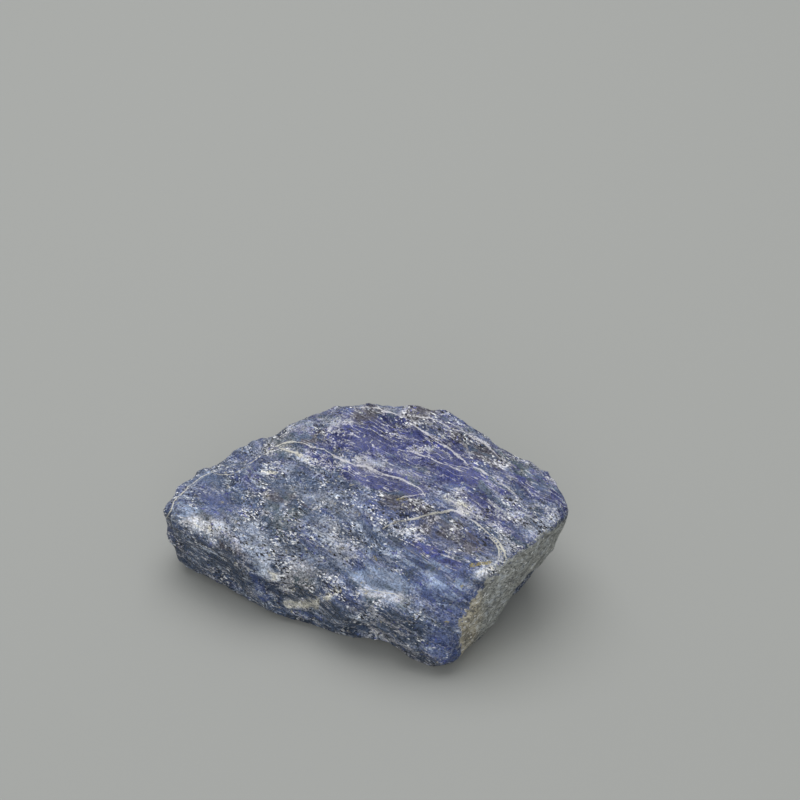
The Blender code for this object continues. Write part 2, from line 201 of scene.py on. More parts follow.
# Strokes of each tone: two pixels of the photograph's frame, a radius in mm and a strength.
STROKES = {
    "violet": {
        "under_the_crest": ((352, 430), (444, 455), 7.0, 0.5),
        "beside_the_long_vein": ((350, 468), (415, 487), 3.2, 0.9),
        "above_the_branch": ((312, 455), (338, 464), 2.5, 0.5),
        "smooth_spot": ((454, 468), (470, 474), 3.5, 0.8),
        "between_the_veins": ((466, 500), (507, 516), 3.5, 0.4),
        "dark_streak": ((416, 546), (452, 562), 2.5, 0.7),
        "left_shoulder": ((250, 470), (318, 466), 3.5, 0.3),
        "right_shoulder": ((515, 476), (550, 492), 6.0, 0.12),
    },
    "blue": {
        "left_facet": ((200, 486), (216, 500), 4.0, 0.6),
        "above_the_toe": ((416, 566), (466, 600), 8.0, 0.7),
        "toe": ((438, 640), (450, 656), 5.0, 0.8),
        "left_bright": ((206, 509), (217, 512), 1.0, 1.0),
        "foot_bright": ((255, 579), (264, 600), 1.8, 1.0),
        "middle": ((328, 510), (346, 524), 3.0, 0.5),
        "front_slope": ((250, 510), (300, 540), 5.0, 0.3),
        "pocket": ((450, 486), (468, 490), 1.8, 0.8),
        "right_rim": ((520, 500), (530, 508), 2.0, 0.7),
    },
    "pale": {
        "left_light": ((182, 503), (194, 511), 2.5, 0.7),
        "blob": ((366, 572), (394, 584), 4.2, 0.9),
        "above_the_toe": ((405, 570), (456, 596), 6.0, 0.5),
        "rim_light": ((206, 472), (236, 462), 2.5, 0.5),
        "middle": ((372, 540), (398, 556), 4.0, 0.5),
        "toe_edge": ((462, 604), (476, 578), 2.4, 0.6),
        "cornflower": ((436, 566), (466, 586), 3.6, 0.6),
        "left_middle": ((282, 508), (305, 520), 3.5, 0.4),
    },
    "umber": {
        "between_hook_and_vein": ((385, 501), (424, 509), 3.2, 0.75),
        "under_the_lower_vein": ((428, 521), (468, 541), 5.0, 0.7),
        "olive_patch": ((272, 494), (301, 506), 3.0, 0.5),
        "crest_left": ((280, 429), (366, 413), 5.0, 0.85),
        "olive_left": ((226, 545), (245, 558), 3.0, 0.7),
        "olive_above_the_vein": ((304, 440), (322, 436), 2.0, 0.7),
        "right_of_the_crest": ((420, 408), (500, 436), 5.0, 0.95),
        "under_the_crest_vein": ((436, 428), (500, 462), 2.8, 0.6),
    },
    "navy_and_shade": {
        # Navy on the undercut is painted shade. The other navy strokes are the stone's own dark tone, apart
        # from the two painted shadows below.
        "undercut_left": ((178, 548), (250, 575), 6.5, 0.9),
        "undercut_middle": ((262, 590), (330, 620), 6.5, 0.65),
        "undercut_right": ((350, 622), (430, 650), 6.5, 0.8),
        # A painted shadow in the hollow under the lower vein's end.
        "shadow_under_the_vein": ((388, 528), (404, 540), 2.5, 0.8),
        "black_spot": ((260, 480), (264, 483), 1.2, 1.0),
        "left_slate": ((227, 481), (244, 494), 2.4, 0.6),
        "beside_the_hook": ((402, 476), (416, 482), 1.0, 0.9),
        # A painted shadow line under a small ledge beside the ochre streak.
        "ledge_shadow_line": ((448, 556), (468, 562), 1.2, 0.8),
        "toe": ((430, 638), (450, 658), 4.5, 0.6),
    },
    # Frost is pale crushed grain. The strokes marked below are painted glints and a painted highlight
    # instead.
    "frost_and_glints": {
        "left_white": ((196, 521), (226, 532), 2.8, 1.0),
        "left_slope": ((226, 534), (300, 568), 5.5, 0.6),
        "foot": ((262, 562), (288, 586), 3.2, 0.8),
        "middle": ((318, 492), (352, 508), 3.4, 0.35),
        # Painted glints: a patch of white where grain faces catch the light.
        "painted_glints": ((326, 530), (345, 550), 4.0, 0.5),
        "above_the_long_vein": ((348, 455), (374, 464), 2.6, 0.9),
        "above_the_hook": ((384, 470), (420, 482), 2.0, 0.6),
        "right_patch": ((452, 497), (480, 512), 3.2, 0.45),
        "right_of_the_lower_vein": ((492, 522), (510, 546), 2.2, 0.7),
        # Painted glints: a cluster of white sparkles.
        "painted_glint_cluster": ((508, 506), (545, 526), 4.5, 0.6),
        "crest": ((363, 406), (430, 417), 2.4, 0.55),
        "crest_right": ((436, 419), (505, 460), 2.4, 0.35),
        "crest_left": ((286, 432), (350, 420), 4.0, 0.55),
        "left_shoulder": ((262, 474), (300, 462), 3.0, 0.4),
        # A painted highlight along the left rim.
        "left_rim": ((166, 512), (200, 475), 1.1, 0.7),
        # A painted glint beside the black spot.
        "glint_high": ((254, 477), (263, 486), 1.1, 1.0),
        "end_edge": ((480, 572), (500, 560), 2.2, 0.6),
        "pale_vein": ((362, 589), (400, 596), 1.2, 0.9),
    },
    "cream": {
        "left_white": ((198, 520), (220, 530), 2.2, 0.45),
        "foot": ((290, 604), (312, 602), 1.7, 1.05),
        "foot_vein": ((312, 600), (327, 594), 1.3, 1.0),
        "foot_vein_end": ((324, 596), (338, 589), 1.6, 1.0),
        "foot_grey": ((266, 573), (274, 580), 1.5, 0.7),
        "shoulder_spot": ((291, 450), (303, 456), 0.8, 0.9),
        "rim_spot": ((266, 468), (276, 470), 0.7, 0.9),
        "between_the_veins": ((446, 495), (470, 508), 2.0, 0.4),
        "under_the_rust": ((478, 572), (492, 566), 1.2, 0.6),
    },
    "ochre": {
        "streak": ((469, 564), (492, 559), 0.5, 0.9),
        "dot_middle": ((374, 555), (375, 556), 0.7, 1.0),
        "dot_edge": ((461, 587), (462, 588), 0.6, 0.8),
        "dot_toe": ((444, 621), (446, 622), 0.4, 0.9),
        "foot": ((280, 590), (330, 600), 1.6, 0.2),
        "vein_hook": ((392, 498), (408, 497), 0.5, 0.35),
    },
    "smooth": {
        "left_facet": ((202, 482), (224, 502), 4.5, 0.9),
        "toe": ((438, 640), (452, 656), 4.5, 0.6),
        "right_shoulder": ((510, 474), (548, 496), 5.0, 0.5),
        "high_violet": ((360, 440), (400, 452), 3.0, 0.7),
        "violet_spot": ((454, 468), (470, 474), 3.5, 0.9),
        "violet_middle": ((355, 470), (412, 486), 3.4, 0.7),
        "blob": ((366, 572), (394, 584), 4.5, 0.8),
        "cornflower": ((412, 566), (462, 592), 6.0, 0.75),
    },
}
STROKE_LEVELS = (1.5, 0.3)  # a stroke starts and is full at these shares of its radius
STROKE_WANDERS = ((9.0, 1.6, 41), (3.0, 0.9, 44))  # size, amount and seed of each bend of their edges

# The high sheets are more violet. The skin that faces down and to the front gets painted shade
# in navy. Each pair is where that starts and where it is full.
VIOLET_SHEETS = (8.0, 20.0)
VIOLET_SHARE = 0.3
UNDERCUT_DOWN = (0.3, -0.05)
UNDERCUT_FRONT = (0.1, -0.4)
UNDERCUT_SHARE = 0.8

# Colours as they look on a screen, from 0 to 255.
SLATE = (64, 79, 108)
SLATE_BLUE = (64, 76, 118)
ROYAL = (44, 52, 132)
MOSS = (70, 84, 92)
FROST = (176, 186, 204)
LILAC = (190, 189, 196)
CREAM = (208, 205, 194)
LILAC_WHITE = (204, 202, 208)
OCHRE = (142, 130, 82)
WHITE = (240, 241, 244)
BLACK = (18, 20, 30)
TAN = (168, 161, 142)
ASH = (154, 156, 152)
SOOT = (62, 66, 74)

# Tones in the order that they are laid on, each with the levels where it starts and is full.
TONES = {
    "violet": ((47, 54, 108), 0.3, 0.46),
    "blue": ((52, 69, 116), 0.4, 0.7),
    "umber": ((67, 65, 78), 0.3, 0.75),
    # Navy is the stone's own dark tone in places, and painted shade on the undercut and in two hollows.
    "navy_and_shade": ((54, 68, 92), 0.25, 0.7),
    "pale": ((124, 140, 170), 0.35, 0.9),
}

# Coordinates that patterns are drawn with. "place" is the place itself, "stone" is measured
# along the grain, across it and through the sheets, and "end" along, across and out of the end
# face. Each bend below moves others by an amount, in curves of a size.
BENDS = {
    "flow": ("stone", 14.0, 8.0),
    "bent": ("flow", 3.0, 1.2),
    "calm_flow": ("stone", 14.0, 4.0),
    "crushed": ("place", 2.0, 1.5),
    "plated": ("bent", 1.2, 0.8),
    "ragged": ("stone", 0.7, 0.5),
    "end_bent": ("end", 6.0, 1.4),
}

# Clouds: their coordinates, their three sizes, detail and roughness.
CLOUDS = {
    "bands": ("flow", (40.0, 14.0, 5.0), 3.0, 0.5),
    "streaks": ("bent", (10.0, 2.4, 1.6), 3.0, 0.6),
    "clouds": ("bent", (7.0, 5.0, 4.5), 4.0, 0.6),
    "crush": ("crushed", (5.0, 5.0, 5.0), 5.0, 0.65),
    "mottle": ("place", (1.0, 1.0, 1.0), 2.0, 0.7),
    "hue": ("place", (12.0, 12.0, 12.0), 3.0, 0.5),
    "broken_up": ("flow", (9.0, 6.0, 5.0), 4.0, 0.6),
    "end_streaks": ("end_bent", (3.6, 2.2, 2.5), 6.0, 0.75),
    "end_patches": ("end", (12.0, 7.0, 7.0), 2.0, 0.5),
    "end_edge": ("place", (1.8, 1.8, 1.8), 4.0, 0.7),
}

# Grains, whose every cell has three random numbers: their coordinates and three sizes.
GRAINS = {
    "chip": ("bent", (5.0, 2.0, 1.6)),
    "plate": ("plated", (4.6, 3.0, 2.6)),
    "grain": ("ragged", (0.56, 0.42, 0.4)),
    "dust": ("ragged", (0.4, 0.32, 0.32)),
    "dash": ("ragged", (0.8, 0.32, 0.31)),
    "speck": ("end_bent", (0.6, 0.4, 0.45)),
}

# Thin lines: their coordinates, three sizes and width.
LINES = {
    "threads": ("calm_flow", (20.0, 2.2, 1.5), 0.025),
    "cracks": ("flow", (15.0, 2.0, 1.3), 0.025),
    "scratches": ("end_bent", (8.0, 1.2, 3.0), 0.03),
}
LINE_DETAIL = 3.0

# Sums of patterns: where each starts and what it adds, with its weight. A name that starts with
# on_ is the mask of that tone, and one that ends in a number is that number of a grain.
SUMS = {
    "uneven": (-1.35, {"streaks": 0.8, "clouds": 0.8, "crush": 0.6, "chip_1": 0.5}),
    "streaked": (-0.5, {"streaks": 1.0}),
    "rough_frost": (-2.375, {"sheet_streaks": 1.0, "clouds": 1.0, "crush": 1.2, "mottle": 1.2,
                             "chip_2": 0.4, "grain_1": 0.45, "dust_1": 0.5}),
    "frost_and_glints": (0.15, {"calm_frost": 1.0, "on_frost_and_glints": 0.45, "on_cream": 0.6, "on_smooth": -0.1,
                     "on_violet": -0.2, "on_umber": -0.24, "on_navy_and_shade": -0.09}),
    "warmth": (0.0, {"hue": 2.0, "grain_1": 0.3, "on_violet": 0.4, "on_umber": 0.7}),
    "cream": (0.0, {"on_cream": 1.0, "uneven": 1.0}),
    "royal": (0.0, {"mottle": 1.0, "crush": 0.5, "on_blue": 0.06, "on_violet": 0.04}),
    "white_fleck_and_glint": (0.0, {"dash_2": 1.0, "crush": 0.7, "broken_up": 0.5, "on_frost_and_glints": 0.06, "on_smooth": -0.15,
                    "on_violet": -0.06, "in_plate": -0.1}),
    "dark_fleck_and_pit_shade": (0.0, {"dash_3": 1.0, "crush": 0.5, "broken_up": 0.4, "on_smooth": -0.15}),
    "from_vein": (-2.4, {"across_vein": 1.0, "crush": 3.6, "dust_2": 1.2}),
    "cool": (0.0, {"on_violet": 1.0, "on_blue": 1.0}),
    "rust": (-0.4, {"on_ochre": 1.0, "dust_2": 0.8}),
    "height": (0.0, {"rough_frost": 0.9, "threads": 0.3, "vein": 0.4, "cracks": -0.6, "grain_3": 0.2}),
    "end": (-1.6, {"on_end": 1.0, "end_edge": 3.2}),
    "end_front": (0.0, {"end_nearness": 0.5, "end_patches": 0.7}),
    "bump": (0.0, {"calm_height": 1.0, "end_streaks": 0.6}),
}

# Fades: the levels where each starts and ends, and its values there where they aren't 0 and 1.
FADES = {
    "slate_blue": (0.4, 0.6),
    "moss": (0.5, 0.66, 0.0, 0.85),
    "in_plate": (0.6, 0.64),
    "calm_where_smooth": (0.0, 1.0, 1.0, 0.35),
    "calm_where_whole": (0.4, 0.58, 0.45, 1.3),
    "calm_in_plate": (0.0, 1.0, 1.08, 0.5),
    "sheeted": (0.1, 0.6, 1.0, 2.6),
    "lilac": (1.0, 1.5),
    "cream": (0.3, 0.7),
    "frost_and_glints": (-0.02, 0.84),
    "thread": (0.36, 0.5),
    "crack_shade": (0.56, 0.44),
    "royal": (0.89, 0.96, 0.0, 0.75),
    "chip_shade": (0.0, 1.0, 0.86, 1.12),
    "plate_shade": (0.0, 1.0, 0.84, 1.15),
    "dust_shade": (0.0, 1.0, 0.66, 1.34),
    "white_fleck_and_glint": (1.52, 1.6),
    "dark_fleck_and_pit_shade": (1.36, 1.44),
    "vein": (1.3, 0.4, 0.0, 0.85),
    "cool_vein": (0.1, 0.35),
    "rust": (0.4, 0.7, 0.0, 0.85),
    "end": (0.36, 0.66),
    "end_nearness": (9.0, -4.0),
    "end_tan": (0.45, 0.75),
    "end_soot": (0.46, 0.62, 0.0, 0.6),
    "end_frost": (0.5, 0.36, 0.0, 0.4),
    "end_dark_speck": (0.88, 0.94, 0.0, 0.75),
    "end_white_speck": (0.92, 0.97, 0.0, 0.5),
    "end_shade": (0.0, 1.0, 0.7, 1.26),
    "roughness": (0.0, 1.0, 0.2, 0.6),
    "facet_tilt": (0.0, 1.0, 0.5, 0.1),
}
THREAD_SHARE = 0.38
CRACK_SHADE_SHARE = 0.8
SCRATCH_SHARE = 0.2
DULL_ROUGHNESS = 0.72
VIOLET_DULLNESS = 0.6
STONE_IOR = 1.48
BUMP_STRENGTH = 0.7
BUMP_DISTANCE = 0.3


def unit(vector):
    return np.asarray(vector) / np.linalg.norm(vector)


def smooth_step(value, start, end):
    value = np.clip((value - start) / (end - start), 0, 1)
    return value * value * (3 - 2 * value)


def smooth_noise(points, size, seed):
    """Soft lumps about one size across, from -1 to 1."""
    shift = Vector((seed * 7.31, seed * 3.17, seed * 5.93))
    return np.array([noise.noise(Vector(point) / size + shift) for point in points])


def warped(points, size, amount, seed):
    """The points moved a little by noise, so that what is drawn with them gets uneven edges."""
    offsets = [smooth_noise(points, size, seed + axis) for axis in range(3)]
    return points + amount * np.stack(offsets, axis=1)


def along_grain(points, stretch):
    """The points with the grain's direction drawn together, so that shapes there grow long."""
    grain = unit(GRAIN)
    return points - np.outer(points @ grain, grain) * (1 - 1 / stretch)


def search_tree(places):
    """A tree that finds the places nearest a point."""
    tree = kdtree.KDTree(len(places))
    for index, place in enumerate(places):
        tree.insert(place, index)
    tree.balance()
    return tree


def flat_chips(points, size, slope, seed):
    """Heights of flat chips about one size across, each tilted its own way, blended at their edges."""
    random = np.random.default_rng(seed)
    low = points.min(axis=0) - size
    high = points.max(axis=0) + size
    count = int(np.prod(high - low) / size**3)
    centres = random.uniform(low, high, (count, 3))
    tilts = random.normal(size=(count, 3))
    tilts *= slope / np.linalg.norm(tilts, axis=1, keepdims=True)
    tree = search_tree(centres)
    found = [tree.find_n(point, 2) for point in points]
    first = np.array([pair[0][1] for pair in found])
    second = np.array([pair[1][1] for pair in found])
    margin = np.array([pair[1][2] - pair[0][2] for pair in found])
    own = np.einsum("ij,ij->i", points - centres[first], tilts[first])
    other = np.einsum("ij,ij->i", points - centres[second], tilts[second])
    share = 0.5 + 0.5 * np.clip(margin / (CHIP_BLEND * size), 0, 1)
    return own * share + other * (1 - share)


def sheet_steps(points, seed):
    """Small steps where the stone broke from sheet to sheet: each sheet ends at its own level."""
    place = points @ unit(SHEET_NORMAL) / SHEET_PITCH
    place += SHEET_WAVE * smooth_noise(points, SHEET_WAVE_SIZE, seed)
    sheet = np.floor(place).astype(int)
    levels = np.random.default_rng(seed).uniform(-1, 1, MOST_SHEETS)
    rise = smooth_step(place - sheet, 0.0, SHEET_RISE)
    return SHEET_STEP * (levels[sheet - 1] * (1 - rise) + levels[sheet] * rise)


def worn_down(points):
    """How deep each point lies in the dents of the outline."""
    total = np.zeros(len(points))
    for centre, reach, depth in WORN_SPOTS.values():
        share = np.linalg.norm(points - np.array(centre), axis=1) / reach
        total += depth * np.clip(1 - share * share, 0, 1) ** DENT_ROUNDNESS
    return total


def small_relief(points, masks):
    """How far each point of the skin stands out or in: small chips, grooves, steps and pits."""
    relief = flat_chips(along_grain(points, CHIP_STRETCH), CHIP_SIZE, CHIP_SLOPE, seed=38)
    relief += flat_chips(along_grain(points, SPLINTER_STRETCH), SPLINTER_SIZE, SPLINTER_SLOPE, seed=32)
    relief += sheet_steps(points, seed=36)
    relief -= GROOVE_DEPTH * np.abs(smooth_noise(along_grain(points, GROOVE_STRETCH), GROOVE_SIZE, seed=33))
    relief += RIPPLE_HEIGHT * smooth_noise(along_grain(points, RIPPLE_STRETCH), RIPPLE_SIZE, seed=34)
    relief -= PIT_DEPTH * smooth_step(smooth_noise(points, PIT_SIZE, seed=35), *PIT_LEVELS)
    relief += VEIN_RISE * masks["vein"] * smooth_step(np.abs(masks["vein_across"]), *VEIN_RISE_LEVELS)
    relief *= 1 - CALM * np.maximum(masks["smooth"], masks["end"])
    return relief - worn_down(points)


def on_skin(tree, pixels):
    """Where the camera's rays through the pixels meet the skin. What misses it is left out."""
    focal = PHOTO_SIDE * LENS / SENSOR
    turn = CAMERA_TURN.to_matrix()
    points = []
    for x, y in pixels:
        ray = turn @ Vector(((x - PHOTO_SIDE / 2) / focal, (PHOTO_SIDE / 2 - y) / focal, -1.0))
        place = tree.ray_cast(CAMERA_PLACE * MM, ray)[0]
        if place is not None:
            points.append(np.array(place) / MM)
    return points


def filled_in(points, step):
    """A path's points with others added between them, about one step apart."""
    path = []
    for start, end in zip(points[:-1], points[1:]):
        start, end = np.array(start, float), np.array(end, float)
        count = max(1, int(np.linalg.norm(end - start) / step))
        path += [start + (end - start) * index / count for index in range(count)]
    return path + [np.array(points[-1], float)]


def vein_paths(tree):
    """Every vein's half width and points on the skin."""
    for half_width, pixels in VEINS.values():
        yield half_width, np.array(on_skin(tree, filled_in(pixels, VEIN_PIXEL_STEP)))
    for half_width, points in HIDDEN_VEINS.values():
        near = [tree.find_nearest(Vector(point) * MM)[0] for point in filled_in(points, VEIN_STEP)]
        yield half_width, np.array(near) / MM


def vein_widths(path, half_width):
    """The half width at each point of a vein's path."""
    ends = np.linspace(0, 1, len(path))
    tapered = VEIN_TIP + (1 - VEIN_TIP) * smooth_step(np.minimum(ends, 1 - ends), 0.0, VEIN_TAPER)
    wave = VEIN_WAVE_MIDDLE + VEIN_WAVE * smooth_noise(path, VEIN_WAVE_SIZE, seed=52)
    return half_width * tapered * np.clip(wave, *VEIN_WAVE_LIMITS)


def vein_sides(tree, path):
    """The direction across a vein, along the skin, at each point of its path."""
    upward = np.array([tree.find_nearest(Vector(place) * MM)[1] for place in path])
    index = np.arange(len(path))
    ahead = path[np.minimum(index + VEIN_HEADING, len(path) - 1)]
    behind = path[np.maximum(index - VEIN_HEADING, 0)]
    across = np.cross(ahead - behind, upward)
    return across / np.linalg.norm(across, axis=1, keepdims=True)


def vein_masks(tree, points):
    """How near a vein each point is, from 0 to 1, and its place across the vein in half widths."""
    veins = [(vein_widths(path, width), path, vein_sides(tree, path)) for width, path in vein_paths(tree)]
    widths, places, sides = (np.concatenate(parts) for parts in zip(*veins))
    nearest = search_tree(places)
    moved = warped(points, VEIN_WANDER_SIZE, VEIN_WANDER, seed=51)
    found = [nearest.find(point) for point in moved]
    index = np.array([item[1] for item in found])
    distance = np.array([item[2] for item in found])
    across = np.einsum("ij,ij->i", moved - places[index], sides[index]) / widths[index]
    near = smooth_step(distance, VEIN_REACH, VEIN_CORE * VEIN_REACH)
    return near, np.clip(across, -VEIN_FARTHEST, VEIN_FARTHEST)


def stroke_share(tree, points, strokes):
    """The strength of the strongest stroke at each point, fading out around its radius."""
    total = np.zeros(len(points))
    for start, end, radius, strength in strokes.values():
        met = on_skin(tree, (start, end))
        first, line = met[0], met[-1] - met[0]
        place = np.clip((points - first) @ line / max(line @ line, 1e-9), 0, 1)
        distance = np.linalg.norm(points - first - place[:, None] * line, axis=1)
        total = np.maximum(total, strength * smooth_step(distance / radius, *STROKE_LEVELS))
    return total


def end_face_share(points, normals):
    """How far each point belongs to the flat break at the right end, from 0 to 1."""
    along = points @ unit(END_ALONG)
    top = END_TOP - END_TOP_FRONT_FALL * np.clip(END_TOP_FRONT - along, 0, None) ** 2
    top -= END_TOP_BACK_FALL * np.clip(along - END_TOP_BACK, 0, None)
    share = smooth_step(normals @ unit(END_NORMAL), *END_FACING)
    share *= smooth_step(points @ unit(END_NORMAL), *END_LEVEL)
    return share * smooth_step(along, *END_FRONT) * smooth_step(points[:, 2] - top, *END_BELOW_TOP)


def tone_masks(mesh, points, normals):
    """Where each tone of the stone lies on the skin. Navy also lies where it is painted shade: on skin that
    faces down and to the front, and in two shadowed hollows.
    """
    tree = BVHTree.FromPolygons(
        [tuple(point * MM) for point in points], [tuple(face.vertices) for face in mesh.polygons])
    uneven = points
    for size, amount, seed in STROKE_WANDERS:
        uneven = warped(uneven, size, amount, seed)
    masks = {name: stroke_share(tree, uneven, strokes) for name, strokes in STROKES.items()}
    high_sheets = smooth_step(uneven @ unit(SHEET_NORMAL), *VIOLET_SHEETS)
    masks["violet"] = np.clip(masks["violet"] + VIOLET_SHARE * high_sheets, 0, 1)
    # Painted shade: the skin that faces down and to the front is darkened with navy.
    undercut = smooth_step(normals[:, 2], *UNDERCUT_DOWN) * smooth_step(normals[:, 1], *UNDERCUT_FRONT)
    masks["navy_and_shade"] = np.clip(np.maximum(masks["navy_and_shade"], UNDERCUT_SHARE * undercut) - masks["blue"], 0, 1)
    masks["vein"], masks["vein_across"] = vein_masks(tree, points)
    masks["end"] = end_face_share(points, normals)
    return masks


def points_and_normals(mesh):
    count = len(mesh.vertices) * 3
    points = np.empty(count)
    normals = np.empty(count)
    mesh.vertices.foreach_get("co", points)
    mesh.vertices.foreach_get("normal", normals)
    return points.reshape(-1, 3) / MM, normals.reshape(-1, 3)


def fine_skin(node):
    """The solid's mesh made even and fine, with its own facets melted away."""
    coarse = bpy.data.objects.new("coarse_skin", node.data.copy())
    bpy.context.scene.collection.objects.link(coarse)
    remesh = coarse.modifiers.new("even_skin", "REMESH")
    remesh.mode = "VOXEL"
    remesh.voxel_size = SKIN_VOXEL * MM
    smooth = coarse.modifiers.new("melted_facets", "SMOOTH")
    smooth.factor = SMOOTHING_FACTOR
    smooth.iterations = SKIN_SMOOTHING
    graph = bpy.context.evaluated_depsgraph_get()
    mesh = bpy.data.meshes.new_from_object(coarse.evaluated_get(graph))
    bpy.data.objects.remove(coarse)
    mesh.name = "stone_surface"
    mesh.materials.clear()
    return mesh


def without_spikes(mesh, points):
    """The points with each lone one drawn back towards its neighbours."""
    edges = np.empty(len(mesh.edges) * 2, dtype=int)
    mesh.edges.foreach_get("vertices", edges)
    first, second = edges.reshape(-1, 2).T
    count = np.bincount(edges, minlength=len(points))[:, None]
    for _ in range(SPIKE_PASSES):
        total = np.zeros_like(points)
        np.add.at(total, first, points[second])
        np.add.at(total, second, points[first])
        offset = total / count - points
        length = np.linalg.norm(offset, axis=1, keepdims=True)
        points = points + offset * np.clip(1 - SPIKE / np.maximum(length, SPIKE), 0, 1)
    return points


def fitted(points):
    """The points scaled by the little that brings them back to the solid's own box."""
    low, high = np.array(cad_low) / MM, np.array(cad_high) / MM
    middle = (points.min(axis=0) + points.max(axis=0)) / 2
    points[:, :2] = ((points - middle) * (high - low) / np.ptp(points, axis=0) + (low + high) / 2)[:, :2]
    points[:, 2] = np.clip(points[:, 2] * high[2] / points[:, 2].max(), 0, None)
    return points


def build_surface(node):
    mesh = fine_skin(node)
    points, normals = points_and_normals(mesh)
    masks = tone_masks(mesh, points, normals)
    raised = smooth_step(points[:, 2], SOLE_HEIGHT, 2 * SOLE_HEIGHT)
    relief = small_relief(points, masks) * np.where(normals[:, 2] < SOLE_FACING, raised, 1)
    points = fitted(without_spikes(mesh, points + normals * relief[:, None]))
    mesh.vertices.foreach_set("co", (points * MM).ravel())
    for name, values in masks.items():
        attribute = mesh.attributes.new("tone_" + name, "FLOAT", "POINT")
        attribute.data.foreach_set("value", values.astype(np.float32))
    mesh.shade_smooth()
    surface = bpy.data.objects.new("stone_surface", mesh)
    bpy.context.scene.collection.objects.link(surface)
    return surface


def linear(red, green, blue):
    """A colour given as it looks on a screen, from 0 to 255, as the shader wants it."""
    shares = [value / 255 for value in (red, green, blue)]
    return (*[((share + 0.055) / 1.055) ** 2.4 if share > 0.04 else share / 12.92 for share in shares], 1.0)


class Paint:
    """Adds nodes to one material. Each call gives back the output that the next one uses."""

    def __init__(self, name):
        self.material = bpy.data.materials.new(name)
        self.material.use_nodes = True
        self.nodes = self.material.node_tree.nodes
        self.links = self.material.node_tree.links
        self.shader = self.nodes["Principled BSDF"]

    def put(self, socket, value):
        if isinstance(value, bpy.types.NodeSocket):
            self.links.new(value, socket)
        else:
            socket.default_value = value

    def mask(self, name):
        node = self.nodes.new("ShaderNodeAttribute")
        node.attribute_name = "tone_" + name
        return node.outputs["Fac"]

    def vector(self, operation, first, second):
        node = self.nodes.new("ShaderNodeVectorMath")
        node.operation = operation
        self.put(node.inputs[0], first)
        self.put(node.inputs["Scale" if operation == "SCALE" else 1], second)
        return node.outputs["Value" if operation == "DOT_PRODUCT" else "Vector"]

    def math(self, operation, first, second=0.0):
        node = self.nodes.new("ShaderNodeMath")
        node.operation = operation
        self.put(node.inputs[0], first)
        self.put(node.inputs[1], second)
        return node.outputs[0]

    def product(self, first, *others):
        for other in others:
            first = self.math("MULTIPLY", first, other)
        return first

    def highest(self, first, *others):
        for other in others:
            first = self.math("MAXIMUM", first, other)
        return first

    def sum(self, offset, *terms):
        """The offset and the terms added up, each term an output with its weight."""
        total = offset
        for value, weight in terms:
            node = self.nodes.new("ShaderNodeMath")
            node.operation = "MULTIPLY_ADD"
            self.put(node.inputs[0], value)
            node.inputs[1].default_value = weight
            self.put(node.inputs[2], total)
            total = node.outputs[0]
        return total

    def added(self, name, parts):
        """The sum of that name."""
        offset, weights = SUMS[name]
        return self.sum(offset, *((parts[part], weight) for part, weight in weights.items()))

    def fade(self, value, start, end, low=0.0, high=1.0):
        node = self.nodes.new("ShaderNodeMapRange")
        node.interpolation_type = "SMOOTHSTEP"
        self.put(node.inputs["Value"], value)
        self.put(node.inputs["From Min"], start)
        self.put(node.inputs["From Max"], end)
        self.put(node.inputs["To Min"], low)
        self.put(node.inputs["To Max"], high)
        return node.outputs[0]

    def faded(self, name, value):
        """The value through the fade of that name."""
        return self.fade(value, *FADES[name])

    def mix(self, share, first, second):
        """Two colours mixed, each an output or a colour as it looks on a screen."""
        node = self.nodes.new("ShaderNodeMix")
        node.data_type = "RGBA"
        self.put(node.inputs[0], share)
        for socket, colour in ((node.inputs[6], first), (node.inputs[7], second)):
            self.put(socket, linear(*colour) if isinstance(colour, tuple) else colour)
        return node.outputs[2]

    def stretched(self, place, sizes):
        return self.vector("MULTIPLY", place, tuple(1 / size for size in sizes))

    def clouds(self, place, sizes, detail, roughness=0.5):
        node = self.nodes.new("ShaderNodeTexNoise")
        node.inputs["Scale"].default_value = 1.0
        node.inputs["Detail"].default_value = detail
        node.inputs["Roughness"].default_value = roughness
        self.put(node.inputs["Vector"], self.stretched(place, sizes))
        return node.outputs["Fac"]

    def lines(self, place, sizes, width):
        """Thin uneven lines, 1 at their middle, where clouds pass their middle level."""
        level = self.sum(-0.5, (self.clouds(place, sizes, LINE_DETAIL), 1.0))
        return self.fade(self.math("ABSOLUTE", level), width, 0.0)

    def bent(self, place, size, amount):
        """The place moved by soft noise, so that what is drawn with it runs in curves."""
        node = self.nodes.new("ShaderNodeTexNoise")
        node.inputs["Scale"].default_value = 1.0
        self.put(node.inputs["Vector"], self.stretched(place, (size,) * 3))
        offset = self.vector("SUBTRACT", node.outputs["Color"], (0.5,) * 3)
        return self.vector("ADD", place, self.vector("SCALE", offset, amount))

    def grains(self, place, sizes):
        """Three random numbers of the grain at each place."""
        node = self.nodes.new("ShaderNodeTexVoronoi")
        node.inputs["Scale"].default_value = 1.0
        self.put(node.inputs["Vector"], self.stretched(place, sizes))
        split = self.nodes.new("ShaderNodeSeparateColor")
        self.links.new(node.outputs["Color"], split.inputs[0])
        return split.outputs

    def random_direction(self, numbers):
        """A vector from three random numbers, each moved to lie about zero."""
        node = self.nodes.new("ShaderNodeCombineXYZ")
        for socket, number in zip(node.inputs, numbers):
            self.links.new(self.sum(-0.5, (number, 1.0)), socket)
        return node.outputs[0]

    def turned(self, place, axes):
        """The place measured along three axes."""
        node = self.nodes.new("ShaderNodeCombineXYZ")
        for socket, axis in zip(node.inputs, axes):
            self.links.new(self.vector("DOT_PRODUCT", place, tuple(axis)), socket)
        return node.outputs[0]


